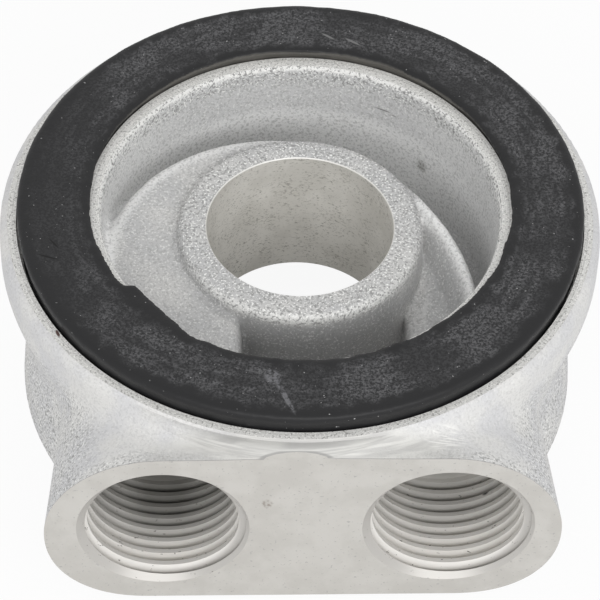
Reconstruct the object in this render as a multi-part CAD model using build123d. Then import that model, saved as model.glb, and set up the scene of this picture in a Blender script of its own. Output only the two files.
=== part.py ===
from build123d import *
from math import cos, radians, sin, tan
import os

os.makedirs("parts", exist_ok=True)

# Oil filter sandwich plate: a one-piece aluminium casting with a rubber sealing ring in its top face.
# Millimetres. The origin is on the bore axis at the filter seat, +Z points to the engine, the ports face -Y.

# Heights above the filter seat
lip_top = 29.0            # outer lip
land_top = 30.0           # narrow land inside the sealing ring
boss_top = 26.7           # end of the central boss, sunk below the lip
bore_bottom = 6.65        # lower end of the boss, sunk above the filter seat
bowl_floor = 11.0         # floor of the oil bowl in the top face
outer_recess_roof = 4.65  # roof of the underside recess near the filter seat
above = 40.0              # clear of everything
far = 60.0                # side of the blocks that cut away whole regions
clearance = 1.0           # by which a cutter stands out of what it cuts

# Outer form, radii from the bore axis
rim_radius = 38.0         # turned rim
lip_radius = 37.2         # outer edge of the lip's flat
waist_radius = 34.9       # cast waist between the rim and the filter seat
foot_radius = 36.1        # filter seat
rim_bottom = 22.6         # lower edge of the turned rim
waist_height = 9.5        # where the waist is narrowest
foot_height = 3.0         # straight side of the foot
lip_bevel = 0.7           # the lip's edge falls by this much out to the rim

# Sealing ring and its groove
ring_outer = 35.7
ring_inner = 26.85
ring_top = 31.7
ring_bevel = 0.7
groove_outer = 36.1
groove_inner = 26.7
groove_floor = 27.0

# Oil bowl and boss
bowl_radius = 25.3        # wall of the bowl just under its rounded edge
bowl_draft = 3.0          # degrees
bowl_edge_round = 1.2
bowl_floor_bevel = 2.5
boss_radius = 15.4
boss_draft = 1.5          # degrees
boss_edge_round = 1.3
bore_radius = 11.9        # plain bore for the filter's hollow stud
bore_chamfer = 0.4

# Port block and ports
face_distance = 38.4      # machined port face, from the bore axis
block_height = 27.0
block_half_width = 31.9
block_draft = 4.0         # degrees, the block narrows towards the body
block_depth = 24.0
side_round = 4.0          # hollow between the block's sides and the waist
side_edges_inside = 26.0  # the edges to be rounded lie farther from the middle than this
side_edges_low = 4.0      # and between these heights
side_edges_high = 20.0
side_edges_behind = 12.0  # and farther in front of the bore axis than this
port_spacing = 35.0
port_height = 13.65
thread_minor_radius = 9.3155   # G 1/2 pipe thread, drilled to its minor diameter
thread_length = 15.0
chamfer_radius = 10.6
passage_radius = 6.5
passage_end = 12.0        # distance of the passages' full width ends in front of the bore axis
drill_point = 0.6         # height of the drill's point per radius

# Cast pad in front of the rim, which the port face cuts to a low hump above the ports
pad_offset = 8.65
pad_radius = 30.0
pad_bottom = 24.0
pad_lean = 0.25           # by which its side leans in up to the lip's bevel

# Roofs of the two oil passages, which stand up inside the bowl
roof_draft = 6.0          # degrees
roof_edge_round = 1.5
roof_edge_bevel = 0.9
roof_overlap = 4.0        # the roofs start this far below the bowl floor
roof_reach = 30.0         # the left roof's block reaches this far, past the bowl wall
left_roof_top = 25.3
left_ridge_radius = 21.2  # ridge around the boss
left_ridge_centre = (-3.7, -4.5)
left_ridge_front = -5.0   # in front of this the ridge ends at the pocket's side
left_roof_edge = -7.8     # side towards the pocket in front of the boss
left_roof_back = 3.0      # where the roof closes the channel beside its ridge
right_roof_top = 25.0     # beside the bore axis
right_roof_fall = 6.0     # degrees, down towards the ports
right_ridge_radius = 30.1
right_ridge_centre = (-8.0, -13.0)
right_roof_edge = 15.2    # side towards the pocket in front of the boss
right_roof_inside = 9.2   # behind the bore axis its side lies inside the boss

# Underside
recess_radius = 24.0
inner_recess_radius = 19.0
recess_draft_step = 0.3   # by which the recess narrows towards its roofs
feed_hole_radius = 4.0    # joins the left passage to the recess
feed_hole_centre = (-14.2, -13.2)


def revolved(outline):
    """Solid of revolution about the bore axis from an outline in radius and height."""
    return revolve(Plane.XZ * make_face(outline), Axis.Z)


def rounded(centre, radius, start_angle, turn):
    """Points of a rounded edge in two flats, about a centre in radius and height."""
    angles = [radians(start_angle + turn * step / 2) for step in range(3)]
    return [(centre[0] + radius * cos(angle), centre[1] + radius * sin(angle)) for angle in angles]


def outer_form():
    """Turned rim, cast waist and foot, before anything is cut."""
    return revolved(Polyline(
        (0, lip_top), (0, 0), (foot_radius, 0), (foot_radius, foot_height), (waist_radius, waist_height),
        (rim_radius, rim_bottom), (rim_radius, lip_top - lip_bevel), (lip_radius, lip_top), close=True))


def port_block():
    """Flat oval block that carries the two ports, drafted towards the body."""
    face_plane = Plane(origin=(0, -face_distance, block_height / 2), x_dir=(1, 0, 0), z_dir=(0, 1, 0))
    outline = face_plane * SlotOverall(2 * block_half_width, block_height)
    return extrude(outline, amount=block_depth, taper=block_draft)


def blended_body():
    """Round body and port block, with the hollows between the block's sides and the waist rounded."""
    joined = outer_form() + port_block()
    sides = []
    for edge in joined.edges():
        middle = edge @ 0.5
        beside = abs(middle.X) > side_edges_inside and middle.Y < -side_edges_behind
        behind_face = middle.Y > block_depth - face_distance - side_edges_behind
        if beside and behind_face and side_edges_low < middle.Z < side_edges_high:
            sides.append(edge)
    return fillet(sides, side_round)


def front_pad():
    """Round pad in front of the rim, inside its outline elsewhere."""
    return Pos(0, -pad_offset, 0) * revolved(Polyline(
        (0, pad_bottom), (pad_radius, pad_bottom), (pad_radius, block_height),
        (pad_radius - pad_lean, lip_top - lip_bevel), (lip_radius - pad_offset, lip_top), (0, lip_top), close=True))


def bowl():
    """The oil bowl around the boss, rounded at both top edges and bevelled at its floor."""
    wall_top = land_top - bowl_edge_round
    wall_foot = bowl_floor + bowl_floor_bevel
    wall_foot_radius = bowl_radius - (wall_top - wall_foot) * tan(radians(bowl_draft))
    boss_side_top = boss_top - boss_edge_round
    boss_foot_radius = boss_radius + (boss_side_top - wall_foot) * tan(radians(boss_draft))
    edge_radius = bowl_radius + bowl_edge_round
    boss_edge = rounded((boss_radius - boss_edge_round, boss_side_top), boss_edge_round, 90, -90)
    wall_edge = rounded((edge_radius, wall_top), bowl_edge_round, 180, -90)
    return revolved(Polyline(
        (0, above), (0, boss_top), *boss_edge, (boss_foot_radius, wall_foot),
        (boss_foot_radius + bowl_floor_bevel, bowl_floor), (wall_foot_radius - bowl_floor_bevel, bowl_floor),
        (wall_foot_radius, wall_foot), *wall_edge, (edge_radius, above), close=True))


def ridge_disc(centre, radius, top):
    """Round drafted block that reaches down through the bowl floor, with a rounded top edge."""
    low = bowl_floor - roof_overlap
    foot = radius + (top - low) * tan(radians(roof_draft))
    edge = rounded((radius - roof_edge_round, top - roof_edge_round), roof_edge_round, 0, 90)
    return Pos(*centre) * revolved(Polyline((0, low), (foot, low), *edge, (0, top), close=True))


def block_between(low, high):
    """Box between two corners."""
    return Pos(*[(l + h) / 2 for l, h in zip(low, high)]) * Box(*[h - l for l, h in zip(low, high)])


def left_roof():
    """Flat roof over the left passage: a ridge that winds around the boss and spreads to the bowl's front wall."""
    ridge = ridge_disc(left_ridge_centre, left_ridge_radius, left_roof_top)
    ridge -= block_between((left_roof_edge, -far, 0), (far, left_ridge_front, far))
    middle = Pos(left_roof_edge - roof_reach / 2, left_roof_back - roof_reach / 2, left_roof_top)
    front = extrude(middle * Rectangle(roof_reach, roof_reach), amount=-(left_roof_top - bowl_floor + roof_overlap),
                    taper=-roof_draft)
    return ridge + chamfer(front.faces().sort_by(Axis.Z)[-1].edges(), roof_edge_bevel)


def right_roof():
    """Sloping roof over the right passage: a ridge that leaves the boss and falls towards the ports."""
    disc = ridge_disc(right_ridge_centre, right_ridge_radius, right_roof_top)
    sloped = Pos(0, 0, right_roof_top) * Rot(right_roof_fall, 0, 0) * Pos(0, 0, -right_roof_top) * disc
    beside_pocket = block_between((right_roof_edge, -far, 0), (far, far, far))
    beside_boss = block_between((right_roof_inside, 0, 0), (far, far, far))
    return sloped & (beside_pocket + beside_boss)


def port(side):
    """Threaded port at its drilled size: chamfer, thread hole and the narrower passage with its drill point."""
    mouth = face_distance + clearance
    wide = chamfer_radius + clearance
    chamfer_end = face_distance - (chamfer_radius - thread_minor_radius)
    thread_end = face_distance - thread_length
    profile = make_face(Polyline(
        (0, -mouth), (wide, -mouth), (thread_minor_radius, -chamfer_end), (thread_minor_radius, -thread_end),
        (passage_radius, -thread_end), (passage_radius, -passage_end), (0, -passage_end + passage_radius * drill_point),
        close=True))
    return Pos(side * port_spacing / 2, 0, port_height) * revolve(profile, Axis.Y)


def bore():
    """Plain bore through the boss, its two edges chamfered."""
    low = bore_bottom
    wide = bore_radius + bore_chamfer
    return revolved(Polyline(
        (0, low - clearance), (wide, low - clearance), (wide, low), (bore_radius, low + bore_chamfer),
        (bore_radius, boss_top - bore_chamfer), (wide, boss_top), (wide, above), (0, above), close=True))


def underside_recess():
    """Stepped recess inside the filter seat, and the hole that feeds it from the left passage."""
    step = recess_draft_step
    recess = revolved(Polyline((0, -clearance), (recess_radius, -clearance), (recess_radius, 0),
                               (recess_radius - step, outer_recess_roof),
                               (inner_recess_radius, outer_recess_roof), (inner_recess_radius - step, bore_bottom),
                               (0, bore_bottom), close=True))
    feed = Pos(*feed_hole_centre, port_height / 2) * Cylinder(feed_hole_radius, port_height)
    return recess + feed


def plate_body():
    body = blended_body() + front_pad()
    body -= Pos(0, -face_distance - far / 2, 0) * Box(2 * far, far, 2 * far)
    body -= revolved(Polyline(
        (groove_inner, groove_floor), (groove_outer, groove_floor), (groove_outer, above), (groove_inner, above),
        close=True))
    body += revolved(Polyline(
        (0, groove_floor - clearance), (groove_inner, groove_floor - clearance), (groove_inner, land_top), (0, land_top),
        close=True))
    body -= bowl() - left_roof() - right_roof()
    body -= underside_recess()
    body -= bore()
    body -= port(-1)
    body -= port(1)
    return body


def sealing_ring():
    """Rubber ring of nearly square section with its top edges broken."""
    return revolved(Polyline((ring_inner, groove_floor), (ring_outer, groove_floor), (ring_outer, ring_top - ring_bevel),
                             (ring_outer - ring_bevel, ring_top), (ring_inner + ring_bevel, ring_top),
                             (ring_inner, ring_top - ring_bevel), close=True))


body = plate_body()
ring = sealing_ring()
print("plate_body", round(body.volume), body.is_valid, len(body.solids()))
print("sealing_ring", round(ring.volume), ring.is_valid, len(ring.solids()))
export_step(body, "parts/plate_body.step")
export_step(ring, "parts/sealing_ring.step")
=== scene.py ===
from functools import reduce
from math import cos, radians, sin, tan

import bmesh
import bpy
from mathutils import Matrix, Vector
from mathutils.bvhtree import BVHTree


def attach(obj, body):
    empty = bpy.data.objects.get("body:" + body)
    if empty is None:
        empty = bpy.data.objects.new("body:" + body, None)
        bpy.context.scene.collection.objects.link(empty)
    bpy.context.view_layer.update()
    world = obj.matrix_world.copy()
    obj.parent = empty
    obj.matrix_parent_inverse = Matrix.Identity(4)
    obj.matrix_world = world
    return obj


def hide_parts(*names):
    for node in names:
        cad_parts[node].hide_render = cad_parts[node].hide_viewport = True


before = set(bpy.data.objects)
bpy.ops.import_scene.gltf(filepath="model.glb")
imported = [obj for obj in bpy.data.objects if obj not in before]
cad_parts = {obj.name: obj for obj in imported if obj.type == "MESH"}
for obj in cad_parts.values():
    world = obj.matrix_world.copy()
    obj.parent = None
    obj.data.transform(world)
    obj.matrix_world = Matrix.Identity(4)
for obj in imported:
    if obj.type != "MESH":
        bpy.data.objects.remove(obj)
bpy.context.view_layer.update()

mm = 0.001

# Camera: it looks down on the ports from the front, where the photograph was taken from.
# Its place and lens come from the circles of the lip, the ring, the bore and the ports.
camera_data = bpy.data.cameras.new("camera")
camera_data.sensor_width = 36.0
camera_data.lens = 207.605
camera = bpy.data.objects.new("camera", camera_data)
bpy.context.scene.collection.objects.link(camera)
camera.matrix_world = Matrix((
    (0.99951811, 0.00635237, -0.03038428, -13.4109 * mm),
    (-0.02493415, 0.74732632, -0.6639892, -298.6050 * mm),
    (0.01848907, 0.66442683, 0.74712458, 348.4531 * mm),
    (0, 0, 0, 1),
))
bpy.context.scene.camera = camera
bpy.context.scene.view_settings.view_transform = "Standard"

# Casting: one piece of sand-cast aluminium, a round body that flows into a flat oval block for two ports.
# Its skin is grainy where the sand was and smooth where the pattern was drawn, with painted highlights along
# the crests.
foot_radius, rim_radius = 36.0, 38.0
lip_top, land_top, boss_top, groove_floor = 29.0, 30.0, 26.7, 27.0
face_distance = 38.4
block_height, block_half_width, block_depth, block_draft = 27.0, 31.9, 26.0, 5.5
block_shift, block_top_round, block_bottom_round = -0.3, 14.2, 12.7
left_centre, left_radius = (-3.7, -4.5), 21.3
right_centre, right_radius = (-8.0, -13.0), 30.4


def fresh():
    if bpy.context.object and bpy.context.object.mode == "EDIT":
        bpy.ops.object.mode_set(mode="OBJECT")
    bpy.ops.object.select_all(action="DESELECT")


def only(piece):
    fresh()
    piece.select_set(True)
    bpy.context.view_layer.objects.active = piece


def choose(piece, kind, test):
    """Opens a piece for editing, with the corners, edges or faces whose middle, in mm, passes a test."""
    only(piece)
    bpy.ops.object.mode_set(mode="EDIT")
    bpy.ops.mesh.select_mode(type=kind)
    bpy.ops.mesh.select_all(action="DESELECT")
    mesh = bmesh.from_edit_mesh(piece.data)
    for item in {"VERT": mesh.verts, "EDGE": mesh.edges, "FACE": mesh.faces}[kind]:
        corners = [item] if kind == "VERT" else item.verts
        item.select_set(test(sum((corner.co for corner in corners), Vector()) / len(corners) / mm))
    bmesh.update_edit_mesh(piece.data)


def shift(x, y, z):
    """Moves what is chosen by some millimetres."""
    bpy.ops.transform.translate(value=(x * mm, y * mm, z * mm))


def settle(piece):
    """Leaves a piece closed and facing outward, at the origin."""
    only(piece)
    bpy.ops.object.mode_set(mode="EDIT")
    bpy.ops.mesh.select_mode(type="VERT")
    bpy.ops.mesh.select_all(action="SELECT")
    bpy.ops.mesh.normals_make_consistent(inside=False)
    bpy.ops.object.mode_set(mode="OBJECT")
    bpy.ops.object.transform_apply(location=True, rotation=True, scale=True)
    return piece


def lathe(name, points, steps=160, centre=(0.0, 0.0)):
    """Turns radius and height points, in millimetres, into a closed solid about an upright axis."""
    fresh()
    (radius, height), rest = points[0], points[1:]
    bpy.ops.mesh.primitive_circle_add(vertices=steps, radius=radius * mm, fill_type="NGON",
                                      location=(centre[0] * mm, centre[1] * mm, height * mm))
    piece = bpy.context.object
    piece.name = name
    bpy.ops.object.mode_set(mode="EDIT")
    bpy.ops.mesh.select_all(action="SELECT")
    for next_radius, next_height in rest:
        rise = (0, 0, (next_height - height) * mm)
        bpy.ops.mesh.extrude_region_move(TRANSFORM_OT_translate={"value": rise})
        scale = next_radius / radius
        bpy.ops.transform.resize(value=(scale, scale, 1),
                                 center_override=(centre[0] * mm, centre[1] * mm, next_height * mm))
        radius, height = next_radius, next_height
    return settle(piece)


def arc(centre, radius, start, end, steps=6):
    """Points of an arc in radius and height, with its angles in degrees."""
    angles = [radians(start + (end - start) * i / steps) for i in range(steps + 1)]
    return [(centre[0] + radius * cos(a), centre[1] + radius * sin(a)) for a in angles]


def box(name, low, high):
    """A plain block between two corners in millimetres."""
    fresh()
    bpy.ops.mesh.primitive_cube_add(size=1, location=[(a + b) / 2 * mm for a, b in zip(low, high)])
    piece = bpy.context.object
    piece.name = name
    piece.scale = [(b - a) * mm for a, b in zip(low, high)]
    return settle(piece)


def combine(piece, tool, operation="DIFFERENCE"):
    """Cuts a tool out of a piece, or joins it on; the new faces keep the tool's own surface."""
    only(piece)
    modifier = piece.modifiers.new("cut", "BOOLEAN")
    modifier.operation = operation
    modifier.solver = "EXACT"
    modifier.material_mode = "TRANSFER"
    modifier.object = tool
    bpy.ops.object.modifier_apply(modifier=modifier.name)
    bpy.data.objects.remove(tool)
    return piece


def remesh(piece, size):
    only(piece)
    modifier = piece.modifiers.new("skin", "REMESH")
    modifier.mode = "VOXEL"
    modifier.voxel_size = size * mm
    modifier.use_smooth_shade = True
    bpy.ops.object.modifier_apply(modifier=modifier.name)


def weigh(piece, name, weights):
    """Puts a weight on each corner of a piece, for a modifier to follow."""
    group = piece.vertex_groups.new(name=name)
    for index, weight in enumerate(weights):
        if weight > 0.001:
            group.add([index], weight, "REPLACE")
    only(piece)


def soften(piece, weights, rounds):
    """Smooths a piece as far as its weights allow."""
    weigh(piece, "soft", weights)
    modifier = piece.modifiers.new("soft", "SMOOTH")
    modifier.factor = 0.5
    modifier.iterations = rounds
    modifier.vertex_group = "soft"
    bpy.ops.object.modifier_apply(modifier=modifier.name)
    piece.vertex_groups.clear()


def fade(value, start, end):
    """One up to the start, none from the end on, and a smooth fall between them."""
    t = min(max((value - start) / (end - start), 0), 1)
    return 1 - t * t * (3 - 2 * t)


def surface(name, colour, roughness, metallic=0.0):
    """A new material with its node tree, its shader and its coordinates in millimetres."""
    material = bpy.data.materials.new(name)
    material.use_nodes = True
    tree = material.node_tree
    shader = tree.nodes["Principled BSDF"]
    shader.inputs["Base Color"].default_value = (*colour, 1)
    shader.inputs["Roughness"].default_value = roughness
    shader.inputs["Metallic"].default_value = metallic
    place = tree.nodes.new("ShaderNodeTexCoord").outputs["Object"]
    return material, tree, shader, stretch(tree, place, (1 / mm, 1 / mm, 1 / mm))


def node(tree, kind, inputs, **settings):
    """Adds a node; an input is given a value or another node's output."""
    new = tree.nodes.new(kind)
    for name, value in settings.items():
        setattr(new, name, value)
    for key, value in inputs.items():
        if isinstance(value, bpy.types.NodeSocket):
            tree.links.new(value, new.inputs[key])
        else:
            new.inputs[key].default_value = value
    return new


def finish(tree, shader, colour, height, strength, distance):
    """Gives the shader its colour, and a bump that lifts the surface by some millimetres."""
    tree.links.new(colour, shader.inputs["Base Color"])
    lift = node(tree, "ShaderNodeBump", {"Height": height, "Strength": strength, "Distance": distance * mm})
    tree.links.new(lift.outputs[0], shader.inputs["Normal"])


def stretch(tree, place, scale, turn=0.0):
    return node(tree, "ShaderNodeMapping", {"Vector": place, "Rotation": (0, 0, radians(turn)),
                                            "Scale": scale}).outputs[0]


def grain(tree, place, scale, detail=2.0, roughness=0.5):
    return node(tree, "ShaderNodeTexNoise", {"Vector": place, "Scale": scale, "Detail": detail,
                                             "Roughness": roughness}).outputs["Fac"]


def between(tree, value, low, high, start=0.0, end=1.0):
    """Carries a value from one span to another, and holds it at the ends."""
    spans = {"Value": value, "From Min": low, "From Max": high, "To Min": start, "To Max": end}
    return node(tree, "ShaderNodeMapRange", spans, interpolation_type="SMOOTHSTEP").outputs["Result"]


def reckon(tree, operation, first, second=0.0):
    return node(tree, "ShaderNodeMath", {0: first, 1: second}, operation=operation).outputs[0]


def all_of(tree, *masks):
    """One only where every mask is one."""
    return reduce(lambda first, second: reckon(tree, "MULTIPLY", first, second), masks)


def any_of(tree, *masks):
    """One wherever a mask is one."""
    return reduce(lambda first, second: reckon(tree, "MAXIMUM", first, second), masks)


def blend(tree, factor, first, second):
    """Mixes two colours, given as red, green and blue or as outputs."""
    first, second = [c if isinstance(c, bpy.types.NodeSocket) else (*c, 1) for c in (first, second)]
    return node(tree, "ShaderNodeMix", {0: factor, 6: first, 7: second}, data_type="RGBA").outputs[2]


def spot(tree, place, centre, size, turn=0.0):
    """One inside a soft oval patch and none outside it, with its place and half sizes in millimetres."""
    oval = {"Vector": place, "Location": centre, "Rotation": (0, 0, radians(turn)), "Scale": size}
    local = node(tree, "ShaderNodeMapping", oval, vector_type="TEXTURE").outputs[0]
    away = node(tree, "ShaderNodeVectorMath", {0: local}, operation="LENGTH").outputs["Value"]
    return between(tree, away, 0.55, 1.0, 1.0, 0.0)


def flatten(tree, place):
    """The same place without its height."""
    return node(tree, "ShaderNodeVectorMath", {0: place, 1: (1, 1, 0)}, operation="MULTIPLY").outputs[0]


def reach(tree, place):
    """Distance from the bore axis in millimetres."""
    return node(tree, "ShaderNodeVectorMath", {0: flatten(tree, place)}, operation="LENGTH").outputs["Value"]


def crest(tree, place, centre, radius):
    """One along the outer edge of a roof with a round outline, and none away from it."""
    to_centre = (-centre[0], -centre[1], 0)
    shifted = node(tree, "ShaderNodeVectorMath", {0: place, 1: to_centre}, operation="ADD").outputs[0]
    away = reach(tree, shifted)
    return all_of(tree, between(tree, away, radius - 2.2, radius - 0.9),
                  between(tree, away, radius + 0.5, radius))


def cast_skin():
    """Clouded grey aluminium, pitted where the sand's grain shows, with painted glints, painted highlights,
    painted shade and painted light in the bowl, and marks of use.

    Every place in it is in millimetres from the bore axis and the underside.
    """
    skin, tree, shader, place = surface("cast_skin", (0.58, 0.58, 0.57), 0.55, 0.15)
    rough = node(tree, "ShaderNodeAttribute", {}, attribute_name="rough").outputs["Fac"]
    fine = grain(tree, place, 2.8, 3.0, 0.65)
    flecks = grain(tree, place, 3.6, 1.0)
    x, y, z = node(tree, "ShaderNodeSeparateXYZ", {0: place}).outputs
    away = reach(tree, place)
    outside = between(tree, away, 26.8, 27.6)
    within = between(tree, outside, 0.0, 0.1, 1.0, 0.0)
    patches = between(tree, grain(tree, place, 0.17, 3.0), 0.35, 0.65)
    inner = blend(tree, patches, (0.52, 0.52, 0.52), (0.60, 0.595, 0.585))
    outer = blend(tree, patches, (0.62, 0.62, 0.63), (0.70, 0.695, 0.68))
    colour = blend(tree, outside, inner, outer)

    # The bowl's wall is painted paler than its roofs, and palest deep down: painted light that brightens the
    # channel where the roofs and the wall shade each other.
    wall = any_of(tree, between(tree, away, 23.6, 24.8), between(tree, z, 24.4, 22.6))
    wall = all_of(tree, wall, between(tree, away, 16.6, 17.6), within, between(tree, y, -13, -1))
    painted_wall_light = blend(tree, between(tree, y, 14, 22), (0.71, 0.71, 0.705), (0.60, 0.60, 0.60))
    painted_wall_light = blend(tree, between(tree, z, 23.8, 21.6), painted_wall_light, (0.79, 0.79, 0.785))
    colour = blend(tree, wall, colour, painted_wall_light)

    # Painted shade: the boss's front and the roof to its right are painted a darker grey for the shadow on
    # them.
    boss_front_shade = all_of(tree, between(tree, away, 17.2, 16.4), between(tree, z, 25.4, 24.4),
                        between(tree, y, -9, -12))
    colour = blend(tree, boss_front_shade, colour, (0.43, 0.43, 0.43))
    right_roof_shade = all_of(tree, between(tree, x, 15.6, 17.0), between(tree, z, 24.6, 23.4),
                        between(tree, away, 24.6, 23.4))
    colour = blend(tree, right_roof_shade, colour, (0.49, 0.49, 0.49))

    # Painted highlights: the top of the bowl's wall, the boss's front edge and the crests of both roofs are
    # painted bright where light catches them.
    wall_top_highlight = all_of(tree, between(tree, away, 25.1, 25.3), within, between(tree, z, 29.0, 29.5, 0.0, 0.75))
    boss_edge_highlight = all_of(tree, between(tree, away, 14.7, 15.2), between(tree, away, 16.2, 15.8),
                       between(tree, z, 25.2, 25.7), between(tree, y, -4, -12, 0.0, 0.5))
    colour = blend(tree, any_of(tree, wall_top_highlight, boss_edge_highlight), colour, (0.93, 0.925, 0.90))
    left_crest_highlight = all_of(tree, crest(tree, place, left_centre, left_radius),
                        between(tree, z, 23.8, 24.4, 0.0, 0.75))
    right_crest_highlight = all_of(tree, crest(tree, place, right_centre, right_radius),
                         between(tree, z, 21.0, 22.5, 0.0, 0.75), between(tree, x, 14.0, 15.0))
    crest_highlights = all_of(tree, any_of(tree, left_crest_highlight, right_crest_highlight),
                    between(tree, away, 25.0, 24.4), between(tree, z, 25.7, 25.3))
    colour = blend(tree, crest_highlights, colour, (0.88, 0.88, 0.87))

    # The sand left dark pits in the skin, and bright flecks are painted on it as glints.
    pits = all_of(tree, between(tree, fine, 0.52, 0.38), rough)
    colour = blend(tree, pits, colour, (0.31, 0.31, 0.305))
    painted_glints = all_of(tree, between(tree, flecks, 0.56, 0.68), rough)
    colour = blend(tree, painted_glints, colour, (0.90, 0.90, 0.88))

    # Over the port face the casting is streaked from side to side, and scraped on its right.
    streaks = grain(tree, stretch(tree, place, (0.12, 0.5, 3.2)), 1.2, 4.0)
    streaked = blend(tree, between(tree, streaks, 0.38, 0.62), (0.50, 0.495, 0.48), (0.62, 0.615, 0.59))
    over_face = all_of(tree, between(tree, y, -34.6, -36.6), between(tree, z, 26.2, 27.2))
    colour = blend(tree, over_face, colour, streaked)
    scrapes = grain(tree, stretch(tree, place, (0.3, 4.0, 0.3), -35), 1.0, 2.0)
    scraped = all_of(tree, spot(tree, place, (16.8, -35.4, 27.0), (3.2, 2.2, 2.5)),
                     between(tree, scrapes, 0.46, 0.60, 0.0, 0.6))
    colour = blend(tree, scraped, colour, (0.88, 0.875, 0.85))

    # The bowl's wall has a scratch that ends in a nick, and a blotch further down.
    scratch = spot(tree, place, (11.6, 22.45, 25.15), (1.9, 0.9, 0.16), -27)
    nick = spot(tree, place, (13.1, 21.6, 24.85), (0.7, 0.7, 0.16), -30)
    colour = blend(tree, any_of(tree, scratch, nick), colour, (0.24, 0.235, 0.23))
    blotch = all_of(tree, spot(tree, place, (17.2, 18.6, 18.7), (1.4, 1.4, 1.6)),
                    between(tree, fine, 0.44, 0.54, 1.0, 0.5))
    colour = blend(tree, blotch, colour, (0.22, 0.215, 0.20))

    # A thin dark line runs round the port face, where the skin meets the milled metal.
    colour = blend(tree, between(tree, y, -38.35, -38.28, 0.7, 0.0), colour, (0.28, 0.275, 0.27))
    finish(tree, shader, colour, all_of(tree, fine, rough), 0.6, 0.2)
    return skin


skin = cast_skin()
casting = lathe("plate_casting", [
    (35.9, -1.0), (foot_radius, 0.0), (35.85, 2.0), (35.7, 4.0), (35.45, 6.0), (35.15, 7.8), (34.95, 9.5),
    (35.0, 11.5), (35.3, 13.5), (35.8, 16.0), (36.4, 18.2), (37.05, 20.2), (37.65, 22.0), (rim_radius, 23.8),
    (rim_radius, 27.9), (rim_radius - 0.25, 28.4), (rim_radius - 2.2, 30.0), (rim_radius - 2.4, 31.0)])
casting.data.materials.append(skin)

# The block's ends are full rounds, and it narrows towards the body as the pattern was drawn from the sand.
# Its front stands out past the port face, which is milled off it later.
block_front = -(face_distance + 1.5)
block_back = block_front + block_depth
block_end = block_half_width - 2
block = box("block", (-block_half_width + block_shift, block_front, 0),
            (block_half_width + block_shift, block_back, block_height))
choose(block, "EDGE", lambda at: abs(at.x) > block_end and abs(at.z - block_height) < 1)
bpy.ops.mesh.bevel(offset=block_top_round * mm, segments=20, profile=0.49, affect="EDGES")
choose(block, "EDGE", lambda at: abs(at.x) > block_end and abs(at.z) < 1)
bpy.ops.mesh.bevel(offset=block_bottom_round * mm, segments=18, profile=0.53, affect="EDGES")
choose(block, "FACE", lambda at: at.y > block_back - 0.1)
narrow = block_depth * tan(radians(block_draft))
bpy.ops.transform.resize(value=(1 - narrow / block_half_width, 1, 1 - narrow / (block_height / 2)),
                         center_override=(0, block_back * mm, block_height / 2 * mm))
settle(block)

# Body and block become one skin, which is smoothed where they meet, and hardly at all at the port face.
depsgraph = bpy.context.evaluated_depsgraph_get()
round_tree = BVHTree.FromObject(casting, depsgraph)
block_tree = BVHTree.FromObject(block, depsgraph)
combine(casting, block, "UNION")
remesh(casting, size=0.6)
blend_weights = []
for vertex in casting.data.vertices:
    apart = max(round_tree.find_nearest(vertex.co)[3], block_tree.find_nearest(vertex.co)[3])
    blend_weights.append(fade(apart / mm, 1.0, 6.0) * fade(-vertex.co.y / mm, 37.0, 38.6))
soften(casting, [0.6] * len(casting.data.vertices), rounds=3)
soften(casting, blend_weights, rounds=60)

# A round pad stands a little proud of the rim at the front, and shows as a low hump over the port face.
pad = lathe("pad", [(29.7, 20.0), (30.02, 24.0), (30.02, 26.9), (29.97, 27.45), (29.88, 27.9), (29.8, 28.2),
                    (29.74, 28.45), (29.5, 28.62), (28.9, 28.72)], centre=(-1.4, -8.65))
combine(casting, pad, "UNION")

# Bowl: the deep hollow around the boss, cast with the body, with the roofs of two oil passages inside it.
# Left, a flat roof winds round the boss; right, a ridge leaves the boss and falls towards the ports.
bowl_radius, bowl_floor, boss_radius = 25.15, 11.0, 15.6
left_top, right_top = 24.9, 25.1
left_side = -7.8
roof_foot = bowl_floor - 4
fillet, boss_round, wall_round = 2.0, 1.0, 0.45
draft = tan(radians(6.0))
far = 60

bowl = lathe("bowl", [(0.5, boss_top)]
             + arc((boss_radius - boss_round, boss_top - boss_round), boss_round, 90, 0)
             + [(boss_radius + 0.35, bowl_floor + fillet)]
             + arc((boss_radius + 2.4, bowl_floor + fillet), fillet, 180, 270)[1:]
             + arc((bowl_radius - 3.0, bowl_floor + fillet), fillet, 270, 360)
             + arc((bowl_radius + wall_round, land_top - wall_round), wall_round, 180, 90)
             + [(bowl_radius + wall_round, 36.0)])
bowl.data.materials.append(skin)


def ridge(name, centre, radius, top, fall):
    """A roof with a round outer edge; its top falls by some millimetres towards the boss."""
    return lathe(name, [(radius + (top - roof_foot) * draft, roof_foot)]
                 + arc((radius - 0.6, top - 0.6), 0.6, 0, 90)
                 + [(radius - 1.3, top - 0.1 * fall), (radius - 3.6, top - 0.8 * fall),
                    (radius - 8.0, top - fall)], centre=centre)


def tip_forward(piece, top, angle):
    """Tips a roof about a line across the bore axis, so that it falls towards the ports."""
    choose(piece, "VERT", lambda at: True)
    bpy.ops.transform.rotate(value=-radians(angle), orient_axis="X", center_override=(0, 0, top * mm))
    settle(piece)


# The left roof's round edge runs from the bowl's wall to behind the boss.
left_ridge = ridge("left_ridge", left_centre, left_radius, left_top, fall=0.05)
combine(left_ridge, box("tool", (left_side, -far, 0), (far, -5, far)))
combine(left_ridge, box("tool", (2.0, -far, 0), (far, far, far)))
tip_forward(left_ridge, left_top, angle=2)

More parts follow.
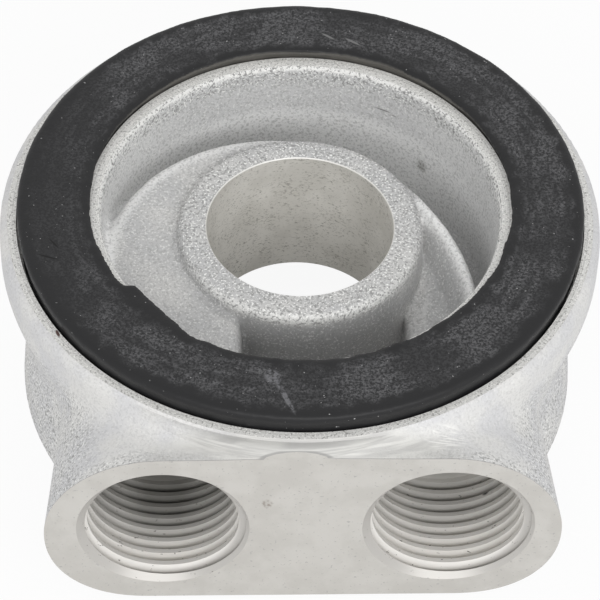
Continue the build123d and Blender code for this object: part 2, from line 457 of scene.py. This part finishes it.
# Its front part covers the left passage, and stops short of the pocket in front of the boss.
left_front = box("left_front", (-40, -32, roof_foot), (left_side, 1.0, left_top))
choose(left_front, "VERT", lambda at: at.y > 0 and at.z < 10)
shift(0, 16, 0)
choose(left_front, "VERT", lambda at: at.x > left_side - 1 and at.z < 10)
shift(1.2, 0, 0)
choose(left_front, "EDGE", lambda at: abs(at.x - left_side) < 0.1 and at.z > 20)
bpy.ops.mesh.bevel(offset=1.2 * mm, segments=3, affect="EDGES")
settle(left_front)
tip_forward(left_front, left_top, angle=2)

# A slope fills the corner between the roof's edge and the bowl's wall.
left_end = box("left_end", (-31, 2.2, roof_foot - 1), (-12.5, 16, left_top - 0.1))
choose(left_end, "VERT", lambda at: at.y > 10 and at.z > 20)
shift(0, 0, -7.5)
settle(left_end)

# The right roof covers the right passage, and is cut back to the pocket and to the side of the boss.
right_ridge = ridge("right_ridge", right_centre, right_radius, right_top, fall=4.7)
tip_forward(right_ridge, right_top, angle=6)
combine(right_ridge, box("tool", (-far, -far, 0), (13.2, -8, far)))
combine(right_ridge, box("tool", (-far, -1, 0), (9.2, far, far)))

for roof in (left_end, left_ridge, left_front, right_ridge):
    combine(bowl, roof)
remesh(bowl, size=0.45)


def soft_at(at):
    """The roofs and the corners between them are soft, and the boss and the wall's top keep their edges."""
    from_boss = abs(Vector((at.x, at.y)).length - boss_radius - 0.3)
    return fade(at.z, 25.4, 26.2) * (1 - 0.8 * fade(from_boss, 0.6, 1.6))


soften(bowl, [0.5] * len(bowl.data.vertices), rounds=3)
soften(bowl, [soft_at(vertex.co / mm) for vertex in bowl.data.vertices], rounds=7)
combine(casting, bowl)

# Turned faces: the lip, the groove for the ring, the land inside it and the boss's bore, all cut on a lathe.
# The cuts left fine rings on the lip and land, and the plain bore keeps short dark marks from the tool.
lip_radius = 35.9
land_radius = 27.0
bore_radius, bore_chamfer = 11.9, 0.12


def turned_face():
    """Bright metal with fine rings, dark pits, painted glints as bright flecks and a small rusty crack on the
    lip.
    """
    turned, tree, shader, place = surface("turned_face", (0.70, 0.695, 0.675), 0.45, 0.15)
    rings = node(tree, "ShaderNodeTexNoise", {"W": reach(tree, place), "Scale": 5.0, "Detail": 2.0},
                 noise_dimensions="1D").outputs["Fac"]
    fine = grain(tree, place, 3.2, 3.0, 0.65)
    flecks = grain(tree, place, 3.9, 1.0)
    colour = blend(tree, between(tree, rings, 0.35, 0.65), (0.72, 0.715, 0.69), (0.86, 0.855, 0.83))
    colour = blend(tree, between(tree, fine, 0.48, 0.36), colour, (0.42, 0.415, 0.40))
    # Painted glints: bright flecks scattered over the turned face.
    colour = blend(tree, between(tree, flecks, 0.55, 0.66), colour, (0.97, 0.965, 0.93))
    crack = spot(tree, place, (-30.2, -19.9, lip_top), (0.25, 0.75, 0.6), 20)
    colour = blend(tree, crack, colour, (0.13, 0.08, 0.07))
    finish(tree, shader, colour, rings, 0.3, 0.1)
    return turned


def bored_face():
    """Warm grey metal with short dark tool marks, and a bright line along the bore's top edge."""
    bored, tree, shader, place = surface("bored_face", (0.50, 0.48, 0.45), 0.45, 0.2)
    patches = between(tree, grain(tree, place, 0.2, 3.0), 0.35, 0.65)
    colour = blend(tree, patches, (0.60, 0.585, 0.545), (0.70, 0.685, 0.645))
    marks = grain(tree, stretch(tree, place, (1.2, 1.2, 2.2)), 2.0, 4.0, 0.75)
    thinned = between(tree, grain(tree, place, 0.35, 3.0), 0.35, 0.65, -0.025, 0.03)
    marks = reckon(tree, "ADD", marks, thinned)
    colour = blend(tree, between(tree, marks, 0.47, 0.33), colour, (0.28, 0.27, 0.245))
    height = node(tree, "ShaderNodeSeparateXYZ", {0: place}).outputs["Z"]
    edge = between(tree, height, boss_top - bore_chamfer - 0.06, boss_top - bore_chamfer)
    colour = blend(tree, edge, colour, (0.80, 0.79, 0.76))
    tree.links.new(colour, shader.inputs["Base Color"])
    return bored


turned = turned_face()
turning = lathe("turning", [(land_radius, land_top), (land_radius, groove_floor), (lip_radius, groove_floor),
                            (lip_radius, lip_top), (45.0, lip_top), (45.0, 45.0)])
turning.data.materials.append(turned)
combine(casting, turning)
bore = lathe("bore", [(bore_radius, 3.0), (bore_radius, boss_top - bore_chamfer),
                      (bore_radius + bore_chamfer, boss_top), (bore_radius + bore_chamfer, 40.0)])
bore.data.materials.append(bored_face())
combine(casting, bore)

# Underside: the filter's seat is faced off flat, with a stepped hollow inside it for the oil to the filter.
# It doesn't show in the photograph, and follows the solids.
seat = box("seat", (-far, -far, -30), (far, far, 0))
seat.data.materials.append(turned)
combine(casting, seat)
recess = lathe("recess", [(24.0, -2.0), (24.0, 0.0), (23.7, 4.65), (19.0, 4.65), (18.7, 6.65)])
recess.data.materials.append(skin)
combine(casting, recess)

# Ports: the block's face is milled flat, and two holes are drilled, chamfered and tapped with a G 1/2 thread.
# Behind each thread a narrower passage leads into the casting, and the left one drops to the underside.
port_x, port_z, pitch = 17.5, 13.65, 1.814
minor_radius, major_radius = 9.3155, 10.4775
tapped_depth, passage_radius, passage_depth, feed_radius = 15.0, 5.5, 26.4, 4.0
thread_start, thread_turns, thread_width, thread_flat = -1.2, 9, 1.4, 0.16


def milled_face():
    """Smooth, dull metal with a few specks, and a brown stain between the ports."""
    milled, tree, shader, place = surface("milled_face", (0.58, 0.57, 0.545), 0.5, 0.2)
    specks = grain(tree, place, 2.6, 2.0)
    patches = between(tree, grain(tree, place, 0.25, 4.0, 0.6), 0.35, 0.65)
    colour = blend(tree, patches, (0.50, 0.485, 0.455), (0.55, 0.535, 0.505))
    colour = blend(tree, between(tree, specks, 0.36, 0.28), colour, (0.38, 0.37, 0.36))
    stain = all_of(tree, spot(tree, place, (-4.8, -face_distance, 18.5), (0.8, 1.0, 1.0)),
                   between(tree, specks, 0.35, 0.6, 0.9, 0.2))
    colour = blend(tree, stain, colour, (0.30, 0.27, 0.24))
    tree.links.new(colour, shader.inputs["Base Color"])
    return milled


def thread_metal():
    """Cut metal with painted shade deep in each port, darkest along its middle as a painted dark reflection,
    with marks and a chip.
    """
    threaded, tree, shader, place = surface("thread_metal", (0.60, 0.58, 0.55), 0.38, 0.25)
    x, y = node(tree, "ShaderNodeSeparateXYZ", {0: place}).outputs[:2]
    colour = blend(tree, between(tree, y, -37.3, -36.9), (0.51, 0.495, 0.47), (0.82, 0.80, 0.765))
    # Painted shade deep in each port, stronger in the left one, with a painted dark reflection along the
    # middle near its axis.
    from_axis = reckon(tree, "ABSOLUTE", reckon(tree, "SUBTRACT", reckon(tree, "ABSOLUTE", x), port_x))
    deep = all_of(tree, between(tree, y, -35.8, -26.0), between(tree, x, -1, 1, 1.0, 0.55),
                  between(tree, from_axis, 1.5, 6.0, 1.0, 0.72))
    colour = blend(tree, deep, colour, (0.20, 0.195, 0.18))
    marks = grain(tree, stretch(tree, place, (0.9, 3.0, 0.9)), 1.2, 3.0, 0.6)
    colour = blend(tree, between(tree, marks, 0.34, 0.29), colour, (0.20, 0.19, 0.175))
    chip = spot(tree, place, (23.3, -27.2, 5.8), (0.7, 0.6, 0.9))
    colour = blend(tree, chip, colour, (0.02, 0.02, 0.02))
    tree.links.new(colour, shader.inputs["Base Color"])
    return threaded


face = box("face", (-far, -90, -30), (far, -face_distance, far))
face.data.materials.append(milled_face())
combine(casting, face)

threaded = thread_metal()
drill = lathe("drill", [(11.6, -1.0), (minor_radius, 1.28), (minor_radius, tapped_depth),
                        (passage_radius, tapped_depth), (passage_radius, passage_depth), (0.3, 29.6)],
              steps=96)

# The tap starts as the outline of one thread, narrow at its outer edge, and is wound up the hole.
tap_inner = minor_radius - 0.215
tap_middle = (tap_inner + major_radius) / 2
fresh()
bpy.ops.mesh.primitive_plane_add(size=1, location=(tap_middle * mm, 0, thread_start * mm),
                                 rotation=(radians(90), 0, 0))
tap = bpy.context.object
tap.name = "tap"
tap.scale = ((major_radius - tap_inner) * mm, thread_width * mm, 1)
bpy.ops.object.transform_apply(location=True, rotation=True, scale=True)
choose(tap, "VERT", lambda at: at.x > tap_middle)
bpy.ops.transform.resize(value=(1, 1, thread_flat), center_override=(major_radius * mm, 0, thread_start * mm))
bpy.ops.mesh.select_all(action="SELECT")
bpy.ops.mesh.delete(type="ONLY_FACE")
only(tap)
modifier = tap.modifiers.new("turns", "SCREW")
modifier.axis = "Z"
modifier.screw_offset = pitch * mm
modifier.iterations = thread_turns
modifier.steps = 64
bpy.ops.object.modifier_apply(modifier=modifier.name)
choose(tap, "EDGE", lambda at: True)
bpy.ops.mesh.fill_holes(sides=0)
settle(tap)

for tool in (drill, tap):
    tool.data.materials.append(threaded)
    for side in (-1, 1):
        only(tool)
        bpy.ops.object.duplicate()
        cutter = bpy.context.object
        cutter.rotation_euler = (radians(-90), 0, 0)
        cutter.location = (side * port_x * mm, -face_distance * mm, port_z * mm)
        combine(casting, settle(cutter))
    bpy.data.objects.remove(tool)
feed = lathe("feed", [(feed_radius, -2.0), (feed_radius, port_z)], steps=64, centre=(-14.2, -13.2))
feed.data.materials.append(threaded)
combine(casting, feed)

# Last, points that the cuts left on top of each other are merged, and the sand's grain is laid on the skin.
merge_distance = 0.002
choose(casting, "VERT", lambda at: True)
bpy.ops.mesh.remove_doubles(threshold=merge_distance * mm)
bpy.ops.mesh.dissolve_degenerate(threshold=merge_distance * mm)
settle(casting)


def roughness_at(at):
    """How strongly the sand's grain shows on the cast skin, from 0 to a little over 1."""
    from_axis = Vector((at.x, at.y)).length
    if from_axis < land_radius and at.z > 8:
        boss = fade(from_axis, 16.0, 17.0) * fade(-at.z, -25.8, -24.5)
        edge = 1.4 * fade(-at.z, -28.6, -26.6)
        return 0.5 + 0.5 * max(boss, edge)
    foot = fade(at.z, 15, 21) * fade(-at.y, 18, 26)
    over_face = 0.8 * fade(at.y, -37.8, -36.0) * fade(-abs(at.x), -9.0, -5.0)
    ends = 0.9 * fade(-abs(at.x), -28, -23) * fade(at.z, 21, 25.5)
    return 0.22 + 0.78 * max(foot, over_face, ends)


only(casting)
rough = casting.data.attributes.new("rough", "FLOAT", "POINT")
for vertex in casting.data.vertices:
    rough.data[vertex.index].value = roughness_at(vertex.co / mm)
bpy.ops.object.shade_smooth_by_angle(angle=radians(35))
modifier = casting.modifiers.new("flats", "WEIGHTED_NORMAL")
modifier.keep_sharp = True
bpy.ops.object.modifier_apply(modifier=modifier.name)
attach(casting, "root")
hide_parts("plate_body")

# Sealing ring: a moulded black rubber ring, pressed into the groove and standing proud of the lip.
# It is dusty where the engine's flange pressed on it, and its inner edge is torn by use.
ring_centre, hole_centre = (0.0, -0.2), (0.0, 0.15)
ring_top = 31.7


def ring_rubber():
    """Black rubber under a broken band of dust, with a smear, rubs and splits in its top."""
    rubber, tree, shader, place = surface("ring_rubber", (0.012, 0.012, 0.013), 0.55)
    shader.inputs["Specular IOR Level"].default_value = 0.3
    x, y, z = node(tree, "ShaderNodeSeparateXYZ", {0: place}).outputs
    away = reach(tree, place)

    # Dust lies in a band with ragged edges, in streaks that run round the ring, and thins out on the left.
    wander = between(tree, grain(tree, place, 0.5, 3.0), 0.3, 0.7, -0.6, 0.6)
    ragged = reckon(tree, "ADD", away, wander)
    around = node(tree, "ShaderNodeVectorMath", {0: flatten(tree, place)}, operation="NORMALIZE").outputs[0]
    outward = node(tree, "ShaderNodeCombineXYZ", {2: away}).outputs[0]
    winding = node(tree, "ShaderNodeVectorMath", {0: stretch(tree, around, (5, 5, 5)), 1: outward}).outputs[0]
    streaks = reckon(tree, "ADD", grain(tree, winding, 1.1, 4.0, 0.6), grain(tree, place, 0.14, 3.0))
    dust = between(tree, grain(tree, place, 3.2, 4.0, 0.8), 0.42, 0.60)
    dusty = all_of(tree, between(tree, ragged, 27.2, 28.6), between(tree, ragged, 34.8, 33.4), dust,
                   between(tree, streaks, 0.84, 1.16, 0.25, 1.0), between(tree, x, -32, -22, 0.2, 1.0))
    colour = blend(tree, dusty, (0.015, 0.015, 0.016), (0.118, 0.118, 0.122))

    smear = any_of(tree, spot(tree, place, (-4.1, -29.4, ring_top), (1.1, 1.5, 2.0), 30),
                   spot(tree, place, (-2.7, -32.4, ring_top), (0.4, 3.4, 2.0), 22))
    streaky = between(tree, grain(tree, place, 1.6, 5.0, 0.7), 0.40, 0.60, 0.05, 0.9)
    colour = blend(tree, all_of(tree, smear, streaky), colour, (0.16, 0.16, 0.17))
    rubs = any_of(tree, spot(tree, place, (4.3, 29.3, ring_top), (1.2, 0.22, 1.0), -36),
                  spot(tree, place, (7.5, 28.25, ring_top), (1.4, 0.22, 1.0), -35))
    colour = blend(tree, rubs, colour, (0.16, 0.16, 0.16))
    splits = any_of(tree, spot(tree, place, (-31.6, -9.65, ring_top), (1.6, 0.16, 1.0), -20),
                    spot(tree, place, (-30.85, -7.4, ring_top), (1.2, 0.16, 1.0), -53))
    colour = blend(tree, splits, colour, (0.004, 0.004, 0.004))

    # At the back, the inside of the hole is painted grey as light falling on the rubber, and white specks of
    # dirt lie here and there.
    inside = all_of(tree, between(tree, away, 27.6, 27.2), between(tree, z, 31.5, 31.2),
                    between(tree, y, 8, 22))
    colour = blend(tree, inside, colour, (0.115, 0.11, 0.10))
    dirt = between(tree, grain(tree, place, 2.8, 1.0), 0.765, 0.80)
    colour = blend(tree, dirt, colour, (0.35, 0.35, 0.35))
    tree.links.new(between(tree, dusty, 0.0, 0.6, 0.45, 0.8), shader.inputs["Roughness"])
    finish(tree, shader, colour, grain(tree, place, 0.9, 5.0, 0.65), 0.35, 0.2)
    return rubber


def crumple(piece, weights, size, height):
    """Pushes a surface in and out by soft lumps of a size and height in millimetres."""
    weigh(piece, "lumps", weights)
    lumps = bpy.data.textures.new("lumps", "CLOUDS")
    lumps.noise_scale = size * mm
    lumps.noise_depth = 2
    modifier = piece.modifiers.new("lumps", "DISPLACE")
    modifier.texture = lumps
    modifier.strength = height * mm
    modifier.mid_level = 0.5
    modifier.vertex_group = "lumps"
    bpy.ops.object.modifier_apply(modifier=modifier.name)
    piece.vertex_groups.clear()


ring = lathe("sealing_rubber", [(35.4, groove_floor), (35.42, 29.0), (35.55, 30.0)]
             + arc((35.0, 30.9), 0.75, -10, 90) + [(34.0, 31.66)], centre=ring_centre)
hole = lathe("hole", [(27.3, 26.0), (27.2, 29.6), (27.05, 30.4), (26.7, 30.9), (26.5, 31.2), (26.6, 31.5),
                      (27.0, 31.72), (27.1, 33.0)], centre=hole_centre)

# A flap of rubber at the left front wasn't torn away, and ends in a step.
flap = box("flap", (-1.96, -30, 20), (8.6, -25.13, 40))
choose(flap, "VERT", lambda at: at.x < 0 and at.y < -29)
shift(-3.9, 0, 0)
settle(flap)
flap.rotation_euler = (0, 0, radians(-51))
combine(hole, settle(flap))
combine(ring, hole)
remesh(ring, size=0.33)
ring.data.materials.clear()
ring.data.materials.append(ring_rubber())

# The hole's edge is ragged, coarsely and finely, and the ring's top is a little uneven.
soften(ring, [0.6] * len(ring.data.vertices), rounds=2)
torn = []
for vertex in ring.data.vertices:
    from_axis = Vector((vertex.co.x, vertex.co.y)).length / mm
    torn.append(fade(from_axis, 26.9, 27.5) * fade(-vertex.co.z / mm, -30.8, -30.0))
crumple(ring, torn, size=4.5, height=0.55)
crumple(ring, torn, size=0.8, height=0.12)
crumple(ring, [fade(vertex.co.z / mm, 31.0, 32.0) for vertex in ring.data.vertices], size=3.0, height=0.2)
only(ring)
bpy.ops.object.shade_smooth()
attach(ring, "root")
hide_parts("sealing_ring")

# Studio: a white floor under the plate and soft light from above, with the floor's shadow kept faint.
# Where the camera sees only background it is plain white, as in the photograph.
floor_glow, floor_seen = 0.25, 0.92
sky_glow, sky_seen = 0.80, 1.0


def to_camera(tree, otherwise, seen):
    """One value for what the camera sees, and another for the light on the plate."""
    camera_ray = node(tree, "ShaderNodeLightPath", {}).outputs["Is Camera Ray"]
    return between(tree, camera_ray, 0.0, 1.0, otherwise, seen)


fresh()
bpy.ops.mesh.primitive_plane_add(size=6, location=(0, 0, -0.0002))
floor = bpy.context.object
floor.name = "floor"
paper = bpy.data.materials.new("floor_paper")
paper.use_nodes = True
tree = paper.node_tree
tree.nodes.clear()
matt = node(tree, "ShaderNodeBsdfDiffuse", {"Color": (0.8, 0.8, 0.8, 1)}).outputs[0]
white = node(tree, "ShaderNodeEmission", {"Color": (1, 1, 1, 1), "Strength": 1.0}).outputs[0]
mixed = node(tree, "ShaderNodeMixShader", {0: to_camera(tree, floor_glow, floor_seen), 1: matt, 2: white})
node(tree, "ShaderNodeOutputMaterial", {"Surface": mixed.outputs[0]})
floor.data.materials.append(paper)

world = bpy.data.worlds.new("studio")
bpy.context.scene.world = world
world.use_nodes = True
tree = world.node_tree
background = tree.nodes["Background"]
background.inputs["Color"].default_value = (1, 1, 1, 1)
tree.links.new(to_camera(tree, sky_glow, sky_seen), background.inputs["Strength"])

lamp = bpy.data.lights.new("front_light", "AREA")
lamp.shape = "RECTANGLE"
lamp.size, lamp.size_y = 0.9, 0.25
lamp.energy = 2.8
light = bpy.data.objects.new("front_light", lamp)
bpy.context.scene.collection.objects.link(light)
light.location = (0.10, -0.62, 0.42)
light.rotation_euler = (Vector((0, 0, 0.02)) - light.location).to_track_quat("-Z", "Y").to_euler()
